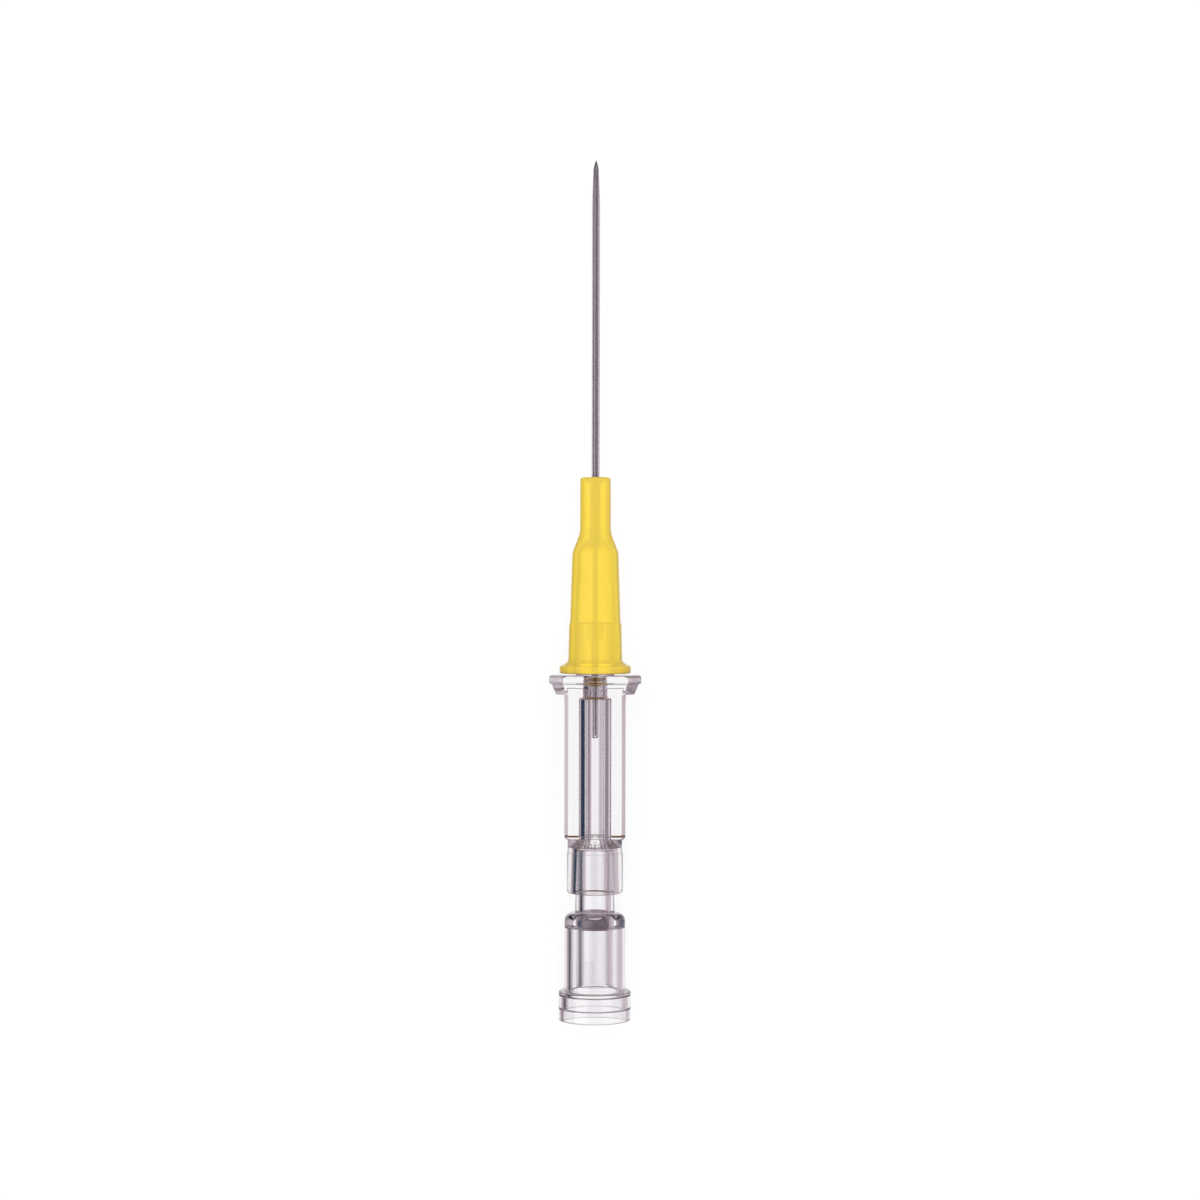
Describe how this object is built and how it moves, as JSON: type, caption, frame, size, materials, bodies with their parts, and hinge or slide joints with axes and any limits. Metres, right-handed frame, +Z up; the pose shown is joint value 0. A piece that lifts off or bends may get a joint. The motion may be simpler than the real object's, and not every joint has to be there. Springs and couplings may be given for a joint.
{
  "type": "intravenous cannula",
  "caption": "Straight peripheral cannula over a bevelled steel needle: soft tube with a yellow luer hub, clear flash chamber with a thumb flange, clear vent plug with a filter.",
  "frame": {"origin": "centre of the footprint on the surface that the cannula lies on: the flat back of the flange and the plug's grip ring touch z = 0, and the overall length is centred on y = 0", "axes": "+Y along the cannula towards the needle's point, +Z up, towards which the needle's bevel faces, +X to the right when the point is away from the viewer"},
  "size_m": [0.01, 0.0938, 0.0079],
  "materials": {
    "clear_plastic": "polished clear polycarbonate",
    "yellow_plastic": "transparent yellow polypropylene, gloss",
    "tube_plastic": "translucent soft fluoropolymer, satin",
    "needle_steel": "drawn stainless steel",
    "eyelet_steel": "thin stainless steel ferrule",
    "cured_glue": "clear cured adhesive",
    "filter_fibre": "sintered porous plastic"
  },
  "bodies": {
    "needle_unit": {"needle": "needle_steel", "needle_glue": "cured_glue", "needle_hub": "clear_plastic"},
    "catheter": {"catheter_tube": "tube_plastic", "tube_eyelet": "eyelet_steel", "catheter_hub": "yellow_plastic"},
    "vent_plug": {"plug_body": "clear_plastic", "vent_filter": "filter_fibre"}
  },
  "joints": [
    {"name": "catheter_slide", "type": "slide", "parent": "needle_unit", "child": "catheter", "axis": [0, 1, 0], "range_m": [0, 0.058]},
    {"name": "plug_slide", "type": "slide", "parent": "needle_unit", "child": "vent_plug", "axis": [0, -1, 0], "range_m": [0, 0.01]}
  ]
}
